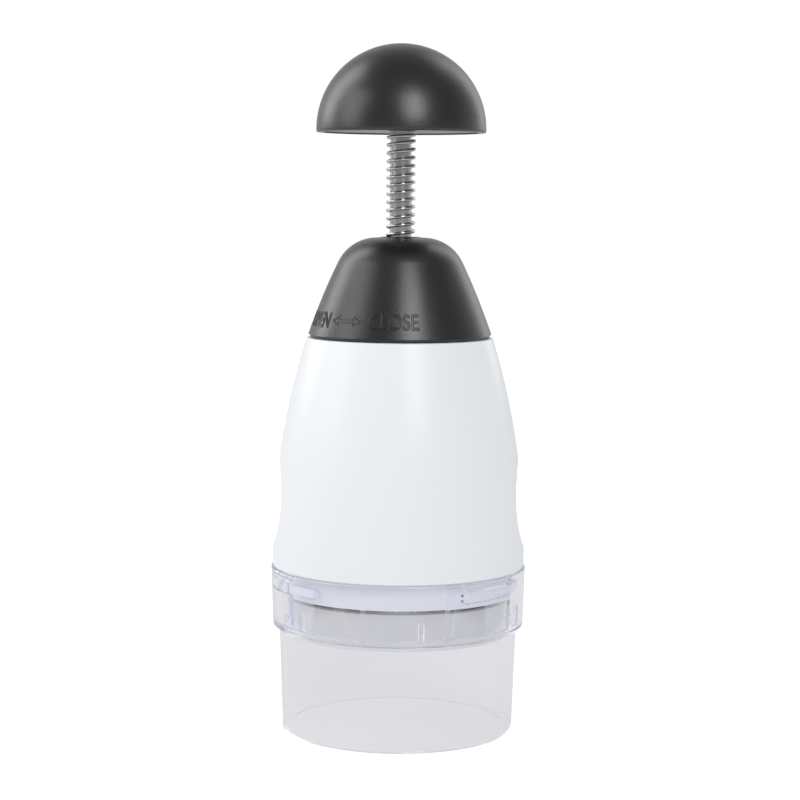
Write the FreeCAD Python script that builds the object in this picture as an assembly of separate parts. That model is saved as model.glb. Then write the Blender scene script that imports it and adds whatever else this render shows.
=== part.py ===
import FreeCAD, Part
import math
import os
from FreeCAD import Vector

# Plunger food chopper: a clear cup, a white housing of two half shells, a black cap,
# and a sprung plunger whose zigzag blade drops through a slotted wiper.
# Millimetres, +Z up, origin on the board under the middle of the cup.
# Angles round the axis are degrees from the front (-Y), positive towards +X.

# Cup
shoulder_z = 35.4
shoulder_t = 2.2
shoulder_w = 2.2
shoulder_round = 1.5
collar_h = 20.3
collar_rim_r = 43.15
collar_taper = 0.65
collar_wall = 1.7
cup_taper = 1.2
cup_wall = 1.9
collar_rim_z = shoulder_z + collar_h
collar_floor_z = shoulder_z + shoulder_t
collar_foot_r = collar_rim_r - collar_taper
collar_bore_r = collar_foot_r - collar_wall
cup_top_r = collar_foot_r - shoulder_w
cup_foot_r = cup_top_r - cup_taper

# Pads with bayonet tracks, and ribs, inside the collar
pad_count = 3
pad_start = 22.7
pad_end = 60.7
pad_t = 1.7
pad_rim_gap = 1.2
lock_turn = 27.0
track_end_gap = 1.4
track_floor_gap = 0.4
track_run_out = 1.0
detent_r = 2.4
rib_start = 10.5
rib_count = 6
rib_w = 2.0
rib_depth = 1.2
rib_lug_gap = 5.2

# Housing shells
shell_inset = 0.5
shell_lift = 0.3
shell_band_h = 3.8
shell_h = 77.1
shell_top_r = 31.3
shell_wall = 2.2
seam_gap = 0.1
seat_w = 2.85
seat_t = 2.0
scallop_depth = 3.5
scallop_rise = 25.06
scallop_r = 53.1
neck_inset = 7.0
neck_wall = 2.0
neck_h = 6.4
neck_lug_reach = 1.7
neck_lug_h = 2.2
neck_lug_span = 56.0
shell_r = collar_rim_r - shell_inset
shell_z = collar_rim_z + shell_lift
shell_band_z = shell_z + shell_band_h
shell_top_z = shell_z + shell_h
scallop_x = shell_r - scallop_depth + scallop_r
scallop_z = shell_z + scallop_rise
neck_r = shell_top_r - neck_inset
neck_top_z = shell_top_z + neck_h

# Holder ring
holder_h = 9.2
holder_gap = 0.5
holder_wall = 2.2
flange_gap = 0.25
flange_lift = 0.6
flange_t = 3.0
lug_rise = 2.5
lug_h = 2.7
lug_reach = 2.2
lug_pad_gap = 0.7
lug_span = 17.0
lug_gap = 0.35
holder_r = collar_bore_r - pad_t - holder_gap
holder_bore_r = holder_r - holder_wall
flange_r = shell_r - shell_wall - flange_gap
flange_z = collar_rim_z + flange_lift
flange_top_z = flange_z + flange_t
holder_z = flange_z - holder_h
lug_z = holder_z + lug_rise
lug_start = pad_end + lug_pad_gap
track_start = lug_start - lock_turn - track_end_gap
rib_top_z = lug_z - rib_lug_gap

# Hinges of the two shells on the holder ring
hinge_inset = 1.1
hinge_rise = 2.7
knuckle_r = 2.2
knuckle_half = 5.3
ear_w = 3.0
ear_gap = 0.3
pin_r = 1.0
pin_gap = 0.05
hinge_y = flange_r - knuckle_r - hinge_inset
hinge_z = flange_top_z + hinge_rise

# Wiper
wiper_drop = 1.9
wiper_gap = 0.9
wiper_wall = 1.5
wiper_floor = 2.7
wiper_shelf = 1.5
wiper_heel_w = 1.4
wiper_heel_h = 2.0
wiper_neck_gap = 0.3
wiper_neck_wall = 1.3
wiper_neck_h = 5.9
neck_tab_middles = (82.0, 180.0, 278.0)
neck_tab_span = 40.0
bead_rise = 1.9
bead_h = 1.2
bead_reach = 0.85
bead_gap = 0.3
slot_gap = 0.35
wiper_z = shoulder_z - wiper_drop
wiper_floor_z = wiper_z + wiper_floor
wiper_r = cup_top_r - cup_wall - wiper_gap
wiper_top_z = holder_z - wiper_shelf
wiper_neck_r = holder_bore_r - wiper_neck_gap
wiper_neck_bore_r = wiper_neck_r - wiper_neck_wall
bead_z = holder_z + bead_rise

# Screws and washers, the same at both ends of the push rod
tap_r = 1.95
screw_gap = 0.05
screw_short = 0.6
screw_hole_gap = 0.2
screw_head_r = 3.5
screw_head_h = 2.2
screw_head_slope = 1.0
drive_w = 0.9
washer_r = 4.3
washer_t = 0.5
screw_hole_r = tap_r + screw_hole_gap

# Blade and carrier. The blade stops just above the board, at the end of the travel.
board_gap = 0.3
blade_inset = 0.5
blade_t = 0.5
blade_bend_r = 0.8
blade_bevel = 1.4
blade_edge_t = 0.1
blade_seat = 4.0
blade_seat_gap = 0.05
stop_gap = 1.1
carrier_gap = 0.8
carrier_t = 6.0
carrier_rim = 2.5
carrier_well = 1.4
carrier_web = 1.5
carrier_hub_r = 9.0
carrier_hub_h = 4.0
carrier_rib_t = 1.6
carrier_rib_count = 6
head_inset = 0.3
head_well_gap = 0.3
blade_z = wiper_z + blade_inset
travel = blade_z - board_gap
carrier_z = wiper_floor_z + travel + stop_gap
carrier_top_z = carrier_z + carrier_t
carrier_hub_z = carrier_top_z + carrier_hub_h
carrier_r = wiper_neck_bore_r - carrier_gap
blade_top_z = carrier_z + blade_seat - blade_seat_gap
head_floor_z = carrier_z + screw_head_h + washer_t + head_inset
head_well_r = washer_r + head_well_gap

# Zigzag blade: the angles of its two ends and, between them, of the corners where its flat
# runs would meet without their bends. The ends lie inside the carrier's edge, and the corners,
# before they are bent, past it.
blade_end_angles = (-58.74, 60.78)
blade_corner_angles = (-143.71, -18.74, 178.39, 27.71, 143.45)
blade_end_in = 1.24
blade_corner_out = 1.55

# Push rod and index cam
rod_r = 3.7
rod_gap = 0.08
rod_seat_gap = 0.02
rod_grip = 9.9
rod_chamfer = 0.5
top_tap_depth = 12.0
foot_tap_depth = 5.6
tooth_count = 12
tooth_h = 3.0
tooth_r = 11.6
cam_gap = 0.15
cam_t = 3.0
cam_hub_h = 2.0
cam_hub_r = 8.0
cam_pin_rise = 1.6
flank_gap_deg = 0.6
rod_foot_z = head_floor_z + carrier_web
tooth_root_z = carrier_hub_z + cam_hub_h + cam_t
cam_pin_z = carrier_hub_z + cam_pin_rise

# Crown plate, clamped in ribs of the shells
crown_skin = 2.0
crown_t = 2.0
crown_gap = 1.144
clamp_gap = 0.1
clamp_rib_t = 2.1
clamp_rib_reach = 3.0
crown_boss_rim = 1.4
crown_hub_r = 7.0
crown_hub_h = 6.0
crown_rib_count = 6
crown_rib_t = 1.4
crown_rib_h = 2.0
crown_z = tooth_root_z + tooth_h + crown_skin
crown_top_z = crown_z + crown_t
crown_boss_r = tooth_r + crown_boss_rim

# Return spring
wire_r = 0.55
coil_gap = 0.15
coil_pitch = 2.72
end_pitch = 1.7
end_turns = 1.0
coil_end_gap = 0.05
coil_r = rod_r + coil_gap + wire_r

# Cap
cap_skirt_lift = 0.15
cap_skirt_h = 0.85
cap_skirt_step = 0.7
cap_skirt_wall = 1.8
cap_foot_inset = 0.4
cap_head_inset = 9.99
cap_head_rise = 24.29
cap_bow_r = 228.0
cap_shoulder_r = 14.4
cap_wall = 2.0
well_gap = 0.75
well_wall = 1.7
well_rise = 0.9
well_floor_t = 3.0
cap_rib_t = 1.4
cap_rib_count = 6
cap_rib_gap = 1.5
hook_span = 60.0
hook_gap = 0.3
hook_h = 2.4
bush_wall = 1.5
bush_flange_w = 1.4
bush_flange_t = 1.0
seat_washer_gap = 0.2
seat_washer_t = 0.6
cap_foot_r = shell_top_r - cap_foot_inset
cap_skirt_r = cap_foot_r - cap_skirt_step
cap_skirt_z = shell_top_z + cap_skirt_lift
cap_foot_z = cap_skirt_z + cap_skirt_h
cap_head_r = cap_foot_r - cap_head_inset
cap_head_z = cap_foot_z + cap_head_rise
cap_rib_z = neck_top_z + cap_rib_gap
well_r = coil_r + wire_r + well_gap
well_floor_z = cap_foot_z + well_rise
seat_washer_z = well_floor_z + well_floor_t
seat_washer_r = well_r - seat_washer_gap
bush_r = rod_r + bush_wall
bush_flange_r = bush_r + bush_flange_w

# Knob
knob_r = 28.4
knob_lip_h = 1.1
knob_gap = 1.245
knob_wall = 2.4
knob_rib_count = 6
knob_rib_t = 1.6
knob_rib_clear = 14.0
base_recess = 0.4
base_t = 2.2
base_gap = 0.2
hub_r = 7.5
hub_cap_t = 2.0

# A boss, a rib or a lug is let into what it stands on by so much, and a cut runs past a face
# by so much.
root = 0.5
run_past = 1.0

UP = Vector(0, 0, 1)


# Points and arcs

def polar(radius, theta, z=0.0):
    """A point at an angle from the front, counted towards +X."""
    turn = math.radians(theta)
    return Vector(radius * math.sin(turn), -radius * math.cos(turn), z)


def turned(shape, angle):
    """A copy turned about the vertical axis."""
    copy = shape.copy()
    copy.rotate(Vector(0, 0, 0), UP, angle)
    return copy


def arc_between(start, end, radius):
    """Middle and centre of an arc that bulges away from the axis."""
    chord = (end[0] - start[0], end[1] - start[1])
    length = math.hypot(*chord)
    outward = (chord[1] / length, -chord[0] / length)
    if outward[0] < 0:
        outward = (-outward[0], -outward[1])
    depth = math.sqrt(radius ** 2 - (length / 2) ** 2)
    half = ((start[0] + end[0]) / 2, (start[1] + end[1]) / 2)
    centre = (half[0] - outward[0] * depth, half[1] - outward[1] * depth)
    middle = (centre[0] + outward[0] * radius, centre[1] + outward[1] * radius)
    return middle, centre


def towards(point, centre, distance):
    """The point moved by a wall's thickness towards an arc's centre."""
    length = math.hypot(centre[0] - point[0], centre[1] - point[1])
    share = distance / length
    return (point[0] + (centre[0] - point[0]) * share,
            point[1] + (centre[1] - point[1]) * share)


# Solids

def spun(*steps, sweep=360.0, start=0.0):
    """A profile of (radius, z) steps turned about the axis.

    A step of two points is an arc's middle and end."""
    edges = []
    first = steps[0]
    here = first
    for step in steps[1:] + (first,):
        a = Vector(here[0], 0, here[1])
        if isinstance(step[0], tuple):
            middle, end = step
            arc = Part.Arc(a, Vector(middle[0], 0, middle[1]), Vector(end[0], 0, end[1]))
            edges.append(arc.toShape())
            here = end
        else:
            b = Vector(step[0], 0, step[1])
            if a.distanceToPoint(b) > 1e-6:
                edges.append(Part.LineSegment(a, b).toShape())
            here = step
    face = Part.Face(Part.Wire(edges))
    face.rotate(Vector(0, 0, 0), UP, start - 90.0)
    return face.revolve(Vector(0, 0, 0), UP, sweep)


def disc(radius, low, high):
    return Part.makeCylinder(radius, high - low, Vector(0, 0, low))


def ring(inner, outer, low, high, start=0.0, sweep=360.0):
    return spun((inner, low), (outer, low), (outer, high), (inner, high),
                sweep=sweep, start=start)


def cross_bar(radius, low_x, high_x, y, z):
    """A round bar along X."""
    return Part.makeCylinder(radius, high_x - low_x, Vector(low_x, y, z), Vector(1, 0, 0))


def block(low, high):
    size = [b - a for a, b in zip(low, high)]
    return Part.makeBox(*size, Vector(*low))


def spokes(count, thickness, inner, outer, low, high, start=0.0):
    """Upright plates that stand round the axis like spokes."""
    plate = block((-thickness / 2, -outer, low), (thickness / 2, -inner, high))
    return fused([turned(plate, start + k * 360.0 / count) for k in range(count)])


def fused(shapes):
    whole = shapes[0]
    if len(shapes) > 1:
        whole = whole.fuse(shapes[1:])
    return whole.removeSplitter()


def strip_wire(thickness, z, longer=0.0):
    """Outline of the folded strip seen from above, with round bends."""
    tips = [polar(carrier_r - blade_end_in, theta, z) for theta in blade_end_angles]
    corners = [polar(carrier_r + blade_corner_out, theta, z) for theta in blade_corner_angles]
    points = tips[:1] + corners + tips[1:]
    run = (points[0] - points[1]).normalize()
    points[0] = points[0] + run * longer
    run = (points[-1] - points[-2]).normalize()
    points[-1] = points[-1] + run * longer
    sides = {1: [], -1: []}
    for side, path in sides.items():
        here = None
        for k, point in enumerate(points):
            before = (point - points[k - 1]).normalize() if k else None
            after = (points[k + 1] - point).normalize() if k + 1 < len(points) else None
            if before is None or after is None:
                along = after or before
                here = step_line(path, here, point + UP.cross(along) * (side * thickness / 2))
                continue
            turn = before.getAngle(after)
            hand = 1 if before.cross(after).z > 0 else -1
            reach = blade_bend_r * math.tan(turn / 2)
            depth = blade_bend_r / math.cos(turn / 2)
            centre = point + (after - before).normalize() * depth
            radius = blade_bend_r - side * hand * thickness / 2
            ends = [point - before * reach, point + after * reach]
            ends = [centre + (end - centre).normalize() * radius for end in ends]
            middle = centre + (point - centre).normalize() * radius
            here = step_line(path, here, ends[0])
            path.append(Part.Arc(here, middle, ends[1]).toShape())
            here = ends[1]
    left, right = sides[1], sides[-1]
    caps = [Part.LineSegment(left[i].Vertexes[j].Point, right[i].Vertexes[j].Point).toShape()
            for i, j in ((0, 0), (-1, 1))]
    return Part.Wire(Part.__sortEdges__(left + right + caps))


def step_line(path, here, there):
    """Adds a straight edge to a path and returns its end."""
    if here is not None:
        path.append(Part.LineSegment(here, there).toShape())
    return there


def strip(thickness, low, high, longer=0.0):
    wire = strip_wire(thickness, low, longer)
    return Part.Face(wire).extrude(UP * (high - low))


# Cup

def make_cup():
    corner = shoulder_round * (1 - math.sqrt(0.5))
    body = spun(
        (cup_foot_r, 0.0), (cup_top_r, shoulder_z),
        (collar_foot_r - shoulder_round, shoulder_z),
        ((collar_foot_r - corner, shoulder_z + corner),
         (collar_foot_r, shoulder_z + shoulder_round)),
        (collar_rim_r, collar_rim_z), (collar_rim_r - collar_wall, collar_rim_z),
        (collar_bore_r, collar_floor_z),
        (cup_top_r - cup_wall, collar_floor_z), (cup_foot_r - cup_wall, 0.0),
    )
    middle = collar_bore_r + collar_wall / 2
    pads = []
    tracks = []
    for k in range(pad_count):
        step = k * 360.0 / pad_count
        pads.append(ring(collar_bore_r - pad_t, middle, collar_floor_z - shoulder_t / 2,
                         collar_rim_z - pad_rim_gap, pad_start + step, pad_end - pad_start))
        low, high = lug_z - lug_gap, lug_z + lug_h + lug_gap
        floor = holder_r + lug_reach + track_floor_gap
        near = collar_bore_r - 2 * pad_t
        tracks.append(ring(near, floor, low, high, track_start + step,
                           pad_end + track_run_out - track_start))
        outward = polar(1, track_start + step)
        tracks.append(Part.makeCylinder(detent_r, floor - near,
                                        outward * near + UP * (lug_z + lug_h / 2), outward))
    ribs = []
    low = collar_floor_z - shoulder_t / 2
    for k in range(rib_count):
        angle = rib_start + k * 360.0 / rib_count
        inner = collar_bore_r - rib_depth
        plate = block((-rib_w / 2, -middle, low), (rib_w / 2, -inner, rib_top_z - rib_w / 2))
        head = Part.makeCylinder(rib_w / 2, middle - inner,
                                 Vector(0, -middle, rib_top_z - rib_w / 2), Vector(0, 1, 0))
        ribs.append(turned(fused([plate, head]), angle))
    return fused([body] + pads + ribs).cut(fused(tracks)).removeSplitter()


# Housing

def shell_side_r(z, wall=0.0):
    """Radius of the shell's bowed side at a height, moved in by a wall."""
    rise = shell_top_z - shell_band_z
    fall = shell_r - shell_top_r
    bow = (rise ** 2 + fall ** 2) / (2 * fall)
    return shell_r - bow + math.sqrt((bow - wall) ** 2 - (z - shell_band_z) ** 2)


def shell_arc(wall=0.0, drop=0.0):
    """Start, middle and end of the shell's bowed side, moved in by a wall."""
    top = shell_top_z - drop
    half = (shell_band_z + top) / 2
    return tuple((shell_side_r(z, wall), z) for z in (shell_band_z, half, top))


crown_r = shell_side_r(crown_top_z, shell_wall) - crown_gap


def solid_of_arc(arc, foot_z):
    start, middle, end = arc
    return spun((0.0, foot_z), (start[0], foot_z), start, (middle, end), (0.0, end[1]))


def scalloped(shape, radius):
    """Takes the two side thumb rests out of a shape."""
    depth = 2 * shell_r
    cuts = [Part.makeCylinder(radius, depth, Vector(x, -depth / 2, scallop_z), Vector(0, 1, 0))
            for x in (-scallop_x, scallop_x)]
    return shape.cut(cuts)


def make_front_shell():
    outer = scalloped(solid_of_arc(shell_arc(), shell_z), scallop_r)
    roof_z = shell_top_z - shell_wall
    cavity = solid_of_arc(shell_arc(shell_wall, shell_wall), shell_z - run_past)
    cavity = scalloped(cavity, scallop_r + shell_wall)
    seat_r = shell_r - shell_wall - seat_w
    clamp_r = crown_r - clamp_rib_reach / 2
    low_rib = crown_z - clamp_gap
    high_rib = crown_top_z + clamp_gap
    cavity = cavity.cut([
        ring(seat_r, shell_r, flange_top_z, flange_top_z + seat_t),
        ring(clamp_r, shell_r, low_rib - clamp_rib_t, low_rib),
        ring(clamp_r, shell_r, high_rib, high_rib + clamp_rib_t),
    ])
    bore_r = neck_r - neck_wall
    shell = outer.cut(cavity)
    shell = fused([shell, disc(neck_r, roof_z, neck_top_z)])
    shell = shell.cut(disc(bore_r, roof_z - run_past, neck_top_z + run_past))
    lug = ring(neck_r - neck_wall / 2, neck_r + neck_lug_reach, neck_top_z - neck_lug_h,
               neck_top_z, -neck_lug_span / 2, neck_lug_span)
    half = block((-2 * shell_r, -2 * shell_r, 0.0), (2 * shell_r, -seam_gap / 2, 2 * shell_top_z))
    shell = shell.common(half)
    pocket_x = knuckle_half + ear_w + 2 * ear_gap
    pocket = block((-pocket_x, -(hinge_y + knuckle_r + ear_gap), flange_top_z - run_past),
                   (pocket_x, 0.0, hinge_z + knuckle_r + ear_gap))
    shell = shell.cut(pocket)
    knuckle = cross_bar(knuckle_r, -knuckle_half, knuckle_half, -hinge_y, hinge_z)
    web = block((-knuckle_half, -(shell_r - shell_wall / 2), hinge_z - knuckle_r / 2),
                (knuckle_half, -hinge_y, hinge_z + knuckle_r))
    shell = fused([shell, lug, knuckle, web])
    half_bore = knuckle_half + ear_gap
    return shell.cut(cross_bar(pin_r + pin_gap, -half_bore, half_bore, -hinge_y, hinge_z))


def make_holder_ring():
    groove_low = bead_z - bead_gap
    groove_high = bead_z + bead_h + bead_gap
    groove_r = wiper_neck_r + bead_reach + bead_gap
    body = spun(
        (holder_bore_r, holder_z), (holder_r, holder_z), (holder_r, flange_z),
        (flange_r, flange_z), (flange_r, flange_top_z), (holder_bore_r, flange_top_z),
        (holder_bore_r, groove_high), (groove_r, groove_high), (groove_r, groove_low),
        (holder_bore_r, groove_low),
    )
    lugs = [ring(holder_r - root, holder_r + lug_reach, lug_z, lug_z + lug_h,
                 lug_start + k * 360.0 / pad_count, lug_span) for k in range(pad_count)]
    ears = []
    near = knuckle_half + ear_gap
    for low_x in (-near - ear_w, near):
        high_x = low_x + ear_w
        foot = block((low_x, -hinge_y - knuckle_r, flange_top_z - flange_t / 2),
                     (high_x, -holder_bore_r, hinge_z))
        eye = cross_bar(knuckle_r, low_x, high_x, -hinge_y, hinge_z)
        ear = fused([foot, eye])
        ear = ear.cut(cross_bar(pin_r + pin_gap, -shell_r, shell_r, -hinge_y, hinge_z))
        ears += [ear, turned(ear, 180.0)]
    return fused([body] + lugs + ears)


def make_hinge_pin():
    half = knuckle_half + ear_gap + ear_w
    return cross_bar(pin_r, -half, half, -hinge_y, hinge_z)


def tooth(radius, height, z):
    """One saw tooth, whose edges all point at the axis, as in a face clutch."""
    half = 180.0 / tooth_count
    apex = Vector(0, 0, z)
    low = polar(radius, -half, z)
    foot = polar(radius, half, z)
    tip = foot + UP * height
    faces = [Part.Face(Part.makePolygon(list(loop) + [loop[0]])) for loop in (
        (apex, low, foot), (apex, foot, tip), (apex, tip, low), (low, tip, foot))]
    return Part.Solid(Part.Shell(faces))


def teeth(radius, height, z, shift=0.0):
    one = tooth(radius, height, z)
    step = 360.0 / tooth_count
    return [turned(one, shift + k * step) for k in range(tooth_count)]


def make_crown_plate():
    low = tooth_root_z + cam_gap
    hub_top = crown_top_z + crown_hub_h
    body = fused([
        disc(crown_r, crown_z, crown_top_z),
        disc(crown_boss_r, low, crown_z + crown_t / 2),
        disc(crown_hub_r, crown_z, hub_top),
        spokes(crown_rib_count, crown_rib_t, crown_hub_r - root,
               crown_r - clamp_rib_reach, crown_top_z - root, crown_top_z + crown_rib_h),
    ])
    larger = 1.0 + run_past / tooth_r
    for shift in (0.0, flank_gap_deg):
        body = body.cut(teeth(tooth_r * larger, tooth_h * larger, low, shift))
    return body.cut(disc(rod_r + rod_gap, low - run_past, hub_top + run_past))


# Wiper

def make_wiper_disc():
    """A slotted disc whose neck snaps into the holder ring with tabs, open between them."""
    neck_top = wiper_top_z + wiper_neck_h
    wall_bore_r = wiper_r - wiper_wall
    body = spun(
        (0.0, wiper_z), (wiper_r, wiper_z), (wiper_r, wiper_top_z), (wiper_neck_r, wiper_top_z),
        (wiper_neck_r, bead_z), (wiper_neck_r + bead_reach, bead_z + bead_h / 2),
        (wiper_neck_r, bead_z + bead_h), (wiper_neck_r, neck_top),
        (wiper_neck_bore_r, neck_top), (wiper_neck_bore_r, wiper_top_z - wiper_shelf),
        (wall_bore_r, wiper_top_z - 2 * wiper_shelf), (wall_bore_r, wiper_floor_z + wiper_heel_h),
        (wall_bore_r - wiper_heel_w, wiper_floor_z), (0.0, wiper_floor_z),
    )
    slots = strip(blade_t + 2 * slot_gap, wiper_z - run_past, wiper_floor_z + run_past, slot_gap)
    between_tabs = []
    for here, there in zip(neck_tab_middles, neck_tab_middles[1:] + neck_tab_middles[:1]):
        start = here + neck_tab_span / 2
        sweep = (there - here) % 360.0 - neck_tab_span
        between_tabs.append(ring(wiper_neck_bore_r - run_past, holder_r, wiper_top_z,
                                 neck_top + run_past, start, sweep))
    return body.cut([slots] + between_tabs)


# Plunger

def make_zigzag_blade():
    shank = strip(blade_t, blade_z + blade_bevel, blade_top_z)
    wires = [strip_wire(t, z)
             for t, z in ((blade_edge_t, blade_z), (blade_t, blade_z + blade_bevel))]
    return fused([shank, Part.makeLoft(wires, True, True)])


def make_blade_carrier():
    floor = carrier_top_z - carrier_well
    body = spun(
        (0.0, carrier_z), (carrier_r, carrier_z), (carrier_r, carrier_top_z),
        (carrier_r - carrier_rim, carrier_top_z), (carrier_r - carrier_rim, floor),
        (carrier_hub_r, floor), (carrier_hub_r, carrier_hub_z), (0.0, carrier_hub_z),
    )
    ribs = spokes(carrier_rib_count, carrier_rib_t, carrier_hub_r - root,
                  carrier_r - carrier_rim / 2, floor - root, carrier_top_z)
    seat = strip(blade_t + 2 * blade_seat_gap, carrier_z - run_past, carrier_z + blade_seat,
                 blade_seat_gap)
    return fused([body, ribs]).cut([
        seat,
        disc(rod_r + rod_seat_gap, rod_foot_z, carrier_hub_z + run_past),
        disc(screw_hole_r, carrier_z, rod_foot_z + run_past),
        disc(head_well_r, carrier_z - run_past, head_floor_z),
    ])


def make_push_rod():
    rod = disc(rod_r, rod_foot_z, rod_top_z)
    rims = [edge for edge in rod.Edges if abs(edge.Length - 2 * math.pi * rod_r) < 1e-3]
    rod = rod.makeChamfer(rod_chamfer, rims)
    return rod.cut([
        disc(tap_r, rod_foot_z - run_past, rod_foot_z + foot_tap_depth),
        disc(tap_r, rod_top_z - top_tap_depth, rod_top_z + run_past),
        cross_bar(pin_r + pin_gap, -shell_r, shell_r, 0.0, cam_pin_z),
    ])


def make_index_cam():
    body = fused([
        disc(cam_hub_r, carrier_hub_z, tooth_root_z - cam_t / 2),
        disc(tooth_r, tooth_root_z - cam_t, tooth_root_z),
    ] + teeth(tooth_r, tooth_h, tooth_root_z))
    body = body.common(disc(tooth_r * math.cos(math.pi / tooth_count), carrier_hub_z,
                            tooth_root_z + tooth_h))
    body = body.cut(disc(rod_r + rod_seat_gap, carrier_hub_z - run_past, tooth_root_z + tooth_h))
    return body.cut(cross_bar(pin_r + pin_gap, -shell_r, shell_r, 0.0, cam_pin_z))


def make_index_pin():
    return cross_bar(pin_r, -cam_hub_r, cam_hub_r, 0.0, cam_pin_z)


def make_screw(seat_z, tap_end_z):
    """A pan screw whose head lies on a seat and whose shank runs up or down into the rod."""
    way = 1 if tap_end_z > seat_z else -1
    rim_z = seat_z - way * screw_head_h / 2
    crown_of_head = seat_z - way * screw_head_h
    head = spun((0.0, seat_z), (screw_head_r, seat_z), (screw_head_r, rim_z),
                (screw_head_r - screw_head_slope, crown_of_head), (0.0, crown_of_head))
    tip_z = tap_end_z - way * screw_short
    shank_z = seat_z - way * root
    shank = disc(tap_r - screw_gap, min(tip_z, shank_z), max(tip_z, shank_z))
    deep = screw_head_h / 2
    cross = [block((-half_x, -half_y, crown_of_head - deep), (half_x, half_y, crown_of_head + deep))
             for half_x, half_y in ((screw_head_r / 2, drive_w / 2), (drive_w / 2, screw_head_r / 2))]
    return fused([head, shank]).cut(cross)


# Cap

def cap_profile(wall=0.0):
    """Bowed side and rounded shoulder of the cap, moved in by a wall."""
    foot = (cap_foot_r, cap_foot_z)
    head = (cap_head_r, cap_head_z)
    middle, centre = arc_between(foot, head, cap_bow_r)
    turn = towards(head, centre, cap_shoulder_r)
    land = (turn[0], turn[1] + cap_shoulder_r)
    rise = math.atan2(head[1] - turn[1], head[0] - turn[0])
    lean = (rise + math.pi / 2) / 2
    knee = (turn[0] + cap_shoulder_r * math.cos(lean), turn[1] + cap_shoulder_r * math.sin(lean))
    side = [towards(p, centre, wall) for p in (foot, middle, head)]
    shoulder = [towards(p, turn, wall) for p in (knee, land)]
    return side, shoulder


def make_cap_cone():
    side, shoulder = cap_profile()
    outer = spun((0.0, cap_skirt_z), (cap_skirt_r, cap_skirt_z), (cap_skirt_r, cap_foot_z),
                 side[0], (side[1], side[2]), (shoulder[0], shoulder[1]), (0.0, shoulder[1][1]))
    side, shoulder = cap_profile(cap_wall)
    bore_r = cap_skirt_r - cap_skirt_wall
    low = cap_skirt_z - run_past
    cavity = spun((0.0, low), (bore_r, low), (bore_r, cap_foot_z),
                  (side[1], side[2]), (shoulder[0], shoulder[1]), (0.0, shoulder[1][1]))
    hook_top = neck_top_z - neck_lug_h - hook_gap
    hooks = [ring(neck_r + hook_gap, cap_foot_r, hook_top - hook_h, hook_top,
                  start - hook_span / 2, hook_span) for start in (0.0, 180.0)]
    cavity = cavity.cut([
        disc(well_r + well_wall, well_floor_z, shoulder[1][1] + run_past),
        spokes(cap_rib_count, cap_rib_t, well_r, cap_foot_r, cap_rib_z, cap_head_z + cap_foot_r),
    ] + hooks)
    return outer.cut(cavity).cut([
        disc(well_r, seat_washer_z, cap_head_z + cap_foot_r),
        disc(bush_r, well_floor_z - run_past, seat_washer_z),
    ])


def make_rod_bushing():
    low = well_floor_z - bush_flange_t
    bore = rod_r + rod_gap
    return spun((bore, low), (bush_flange_r, low), (bush_flange_r, well_floor_z),
                (bush_r, well_floor_z), (bush_r, seat_washer_z), (bore, seat_washer_z))


# Knob

knob_lip_z = cap_profile()[1][-1][1] + travel + knob_gap
knob_z = knob_lip_z + knob_lip_h
base_z = knob_lip_z + base_recess
base_top_z = base_z + base_t
rod_top_z = base_top_z + rod_grip
hub_top_z = rod_top_z + hub_cap_t


def dome(radius, foot_z):
    corner = radius * math.sqrt(0.5)
    return spun((0.0, foot_z), (radius, foot_z), (radius, knob_z),
                ((corner, knob_z + corner), (0.0, knob_z + radius)))


def make_knob_dome():
    ribs = spokes(knob_rib_count, knob_rib_t, knob_rib_clear, knob_r, base_top_z,
                  knob_z + knob_r)
    cavity = dome(knob_r - knob_wall, knob_lip_z - run_past).cut(ribs)
    return dome(knob_r, knob_lip_z).cut(cavity)


def make_knob_base():
    plate_r = knob_r - knob_wall - base_gap
    body = fused([
        disc(plate_r, base_z, base_top_z),
        disc(hub_r, base_z, hub_top_z),
        spokes(knob_rib_count, knob_rib_t, hub_r - root, knob_rib_clear - run_past,
               base_top_z - root, base_top_z + hub_r, 180.0 / knob_rib_count),
    ])
    return body.cut([
        disc(rod_r + rod_seat_gap, base_z - run_past, rod_top_z),
        disc(screw_hole_r, rod_top_z - run_past, hub_top_z + run_past),
    ])


# Return spring: one round wire along a helix of biarcs, a quarter turn to each arc

coil_low = seat_washer_z + seat_washer_t + coil_end_gap + wire_r
coil_high = base_z - coil_end_gap - wire_r
active_turns = (coil_high - coil_low - 2 * end_turns * end_pitch) / coil_pitch
coil_turns = active_turns + 2 * end_turns


def coil_z(turn):
    """Height of the wire's middle after so many turns, close wound at both ends."""
    low = min(turn, end_turns)
    high = max(0.0, turn - end_turns - active_turns)
    return coil_low + (low + high) * end_pitch + (turn - low - high) * coil_pitch


def coil_point(turn):
    return polar(coil_r, 360.0 * turn, coil_z(turn))


def coil_tangent(turn):
    step = 1e-4
    low = max(0.0, turn - step)
    high = min(coil_turns, turn + step)
    return (coil_point(high) - coil_point(low)).normalize()


def arc_edge(start, control, end):
    """The arc that leaves its start and reaches its end along the control point."""
    half = (start + end) * 0.5
    share = (start - half).Length / (start - control).Length
    return Part.Arc(start, half + (control - half) * (share / (1 + share)), end).toShape()


def biarc(p, q, along_p, along_q):
    chord = q - p
    both = along_p + along_q
    spread = 2 * (1 - along_p.dot(along_q))
    reach = (-chord.dot(both) + math.sqrt(chord.dot(both) ** 2 + spread * chord.dot(chord)))
    reach = reach / spread
    control_p = p + along_p * reach
    control_q = q - along_q * reach
    joint = (control_p + control_q) * 0.5
    return [arc_edge(p, control_p, joint), arc_edge(joint, control_q, q)]


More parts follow.
